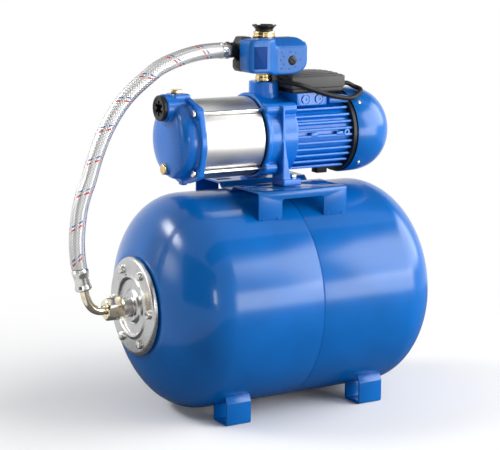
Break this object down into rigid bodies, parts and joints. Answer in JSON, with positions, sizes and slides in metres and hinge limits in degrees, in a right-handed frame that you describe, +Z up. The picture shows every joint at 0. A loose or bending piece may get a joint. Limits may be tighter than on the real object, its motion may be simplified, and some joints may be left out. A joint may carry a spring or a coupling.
{
  "type": "booster pump set",
  "caption": "Horizontal multistage pump with finned motor and pressure controller, bolted on a saddle over a horizontal membrane tank that a braided hose feeds.",
  "frame": {"origin": "on the ground under the middle of the whole set, braided hose and cable left out", "axes": "+X from the suction end towards the fan, +Y away from the controller's face, +Z up"},
  "size_m": [0.6782, 0.37, 0.6608],
  "materials": {
    "blue_enamel": "glossy blue enamel on pressed steel",
    "blue_cast_paint": "azure paint on castings",
    "blue_plastic": "satin blue moulding",
    "stainless_steel": "bright stainless steel",
    "zinc_plate": "bright zinc plate",
    "steel": "plain steel",
    "brass": "machined brass",
    "nickel_plate": "nickel plate",
    "braided_steel": "rubber hose under a steel braid with red and blue tracers",
    "black_plastic": "satin black moulding",
    "black_rubber": "black rubber",
    "copper_wire": "varnished copper wire",
    "impeller_plastic": "dark grey moulding",
    "circuit_board": "green board",
    "seal_ceramic": "pale ceramic"
  },
  "bodies": {
    "set": {"tank_shell": "blue_enamel", "foot_front_left": "blue_enamel", "foot_front_right": "blue_enamel", "foot_rear_left": "blue_enamel", "foot_rear_right": "blue_enamel", "pump_saddle": "blue_enamel", "fan_cover": "blue_enamel", "suction_casing": "blue_cast_paint", "motor_adapter": "blue_cast_paint", "motor_housing": "blue_cast_paint", "controller_cover": "blue_plastic", "stage_sleeve": "stainless_steel", "tank_flange": "zinc_plate", "tie_rod_1": "zinc_plate", "tie_rod_2": "zinc_plate", "tie_rod_3": "zinc_plate", "tie_rod_4": "zinc_plate", "saddle_bolt_front": "zinc_plate", "saddle_bolt_rear": "zinc_plate", "capacitor": "zinc_plate", "front_bearing": "steel", "rear_bearing": "steel", "stator_core": "steel", "air_valve": "brass", "inlet_nipple": "brass", "outlet_ring": "brass", "elbow_nut": "brass", "elbow": "brass", "side_plug": "nickel_plate", "hose_ferrule_lower": "nickel_plate", "hose_nut_upper": "nickel_plate", "hose_ferrule_upper": "nickel_plate", "hose": "braided_steel", "end_shield": "black_plastic", "terminal_box": "black_plastic", "terminal_lid": "black_plastic", "controller_body": "black_plastic", "cable_gland": "black_plastic", "motor_cable": "black_plastic", "bladder": "black_rubber", "sleeve_seal_front": "black_rubber", "sleeve_seal_rear": "black_rubber", "motor_rest": "black_rubber", "stator_windings": "copper_wire", "stage_chambers": "impeller_plastic", "controller_board": "circuit_board", "shaft_seal": "seal_ceramic"},
    "rotor": {"shaft": "stainless_steel", "rotor_core": "steel", "impeller_1": "impeller_plastic", "impeller_2": "impeller_plastic", "impeller_3": "impeller_plastic", "cooling_fan": "black_plastic"},
    "dial": {"controller_dial": "black_plastic"},
    "flow_valve": {"check_valve": "black_rubber"},
    "filler_plug": {"priming_plug": "brass"},
    "drain_screw": {"drain_plug": "brass"},
    "inlet_plug": {"suction_plug": "black_plastic"},
    "outlet_plug": {"outlet_cap": "black_plastic"},
    "valve_cap": {"air_valve_cap": "black_plastic"}
  },
  "joints": [
    {"name": "rotor_spin", "type": "hinge", "parent": "set", "child": "rotor", "pos_m": [0.0508, 0, 0.472], "axis": [1, 0, 0], "continuous": true},
    {"name": "dial_turn", "type": "hinge", "parent": "set", "child": "dial", "pos_m": [0.051, -0.02, 0.602], "axis": [0, 1, 0], "range_deg": [-150, 150]},
    {"name": "flow_valve_lift", "type": "slide", "parent": "set", "child": "flow_valve", "axis": [0, 0, 1], "range_m": [0, 0.006], "stiffness_N_per_m": 60},
    {"name": "filler_plug_out", "type": "slide", "parent": "set", "child": "filler_plug", "axis": [0, 0, 1], "range_m": [0, 0.022]},
    {"name": "drain_screw_out", "type": "slide", "parent": "set", "child": "drain_screw", "axis": [-1, 0, 0], "range_m": [0, 0.02]},
    {"name": "inlet_plug_out", "type": "slide", "parent": "set", "child": "inlet_plug", "axis": [-1, 0, 0], "range_m": [0, 0.028]},
    {"name": "outlet_plug_out", "type": "slide", "parent": "set", "child": "outlet_plug", "axis": [0, 0, 1], "range_m": [0, 0.022]},
    {"name": "valve_cap_off", "type": "slide", "parent": "set", "child": "valve_cap", "axis": [1, 0, 0], "range_m": [0, 0.025]}
  ]
}
